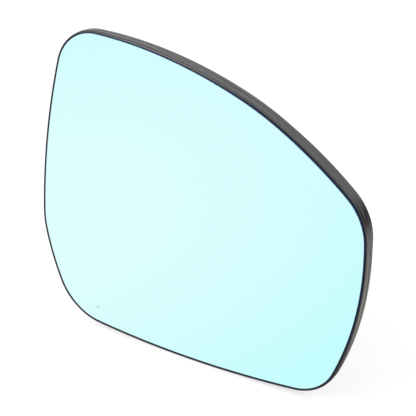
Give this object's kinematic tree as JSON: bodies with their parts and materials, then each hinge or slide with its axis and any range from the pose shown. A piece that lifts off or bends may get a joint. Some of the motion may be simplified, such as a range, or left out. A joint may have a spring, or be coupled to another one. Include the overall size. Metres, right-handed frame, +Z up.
{
  "type": "car door mirror glass",
  "caption": "Convex, lightly blue tinted door mirror glass bonded in a thin black moulded carrier, with a clip ring and heater tabs on its hidden back.",
  "frame": {"origin": "centre of the clip ring, on the flat seat inside it, on the carrier's back", "axes": "+Y out of the back, square to the seat, so the glass faces -Y; +Z up as the mirror hangs on the door; +X to the right seen from the front"},
  "size_m": [0.186, 0.0154, 0.1593],
  "materials": {
    "mirror_glass": "polished, blue tint",
    "heater_foil": "film with printed tracks",
    "adhesive_sheet": "closed foam",
    "carrier": "satin moulded",
    "heater_tabs": "tinned",
    "tab_rivets": "plain"
  },
  "bodies": {
    "root": {"mirror_glass": "mirror_glass", "heater_foil": "heater_foil", "adhesive_sheet": "adhesive_sheet", "carrier": "carrier", "heater_tab_left": "heater_tabs", "heater_tab_right": "heater_tabs", "tab_rivets": "tab_rivets"}
  },
  "joints": []
}
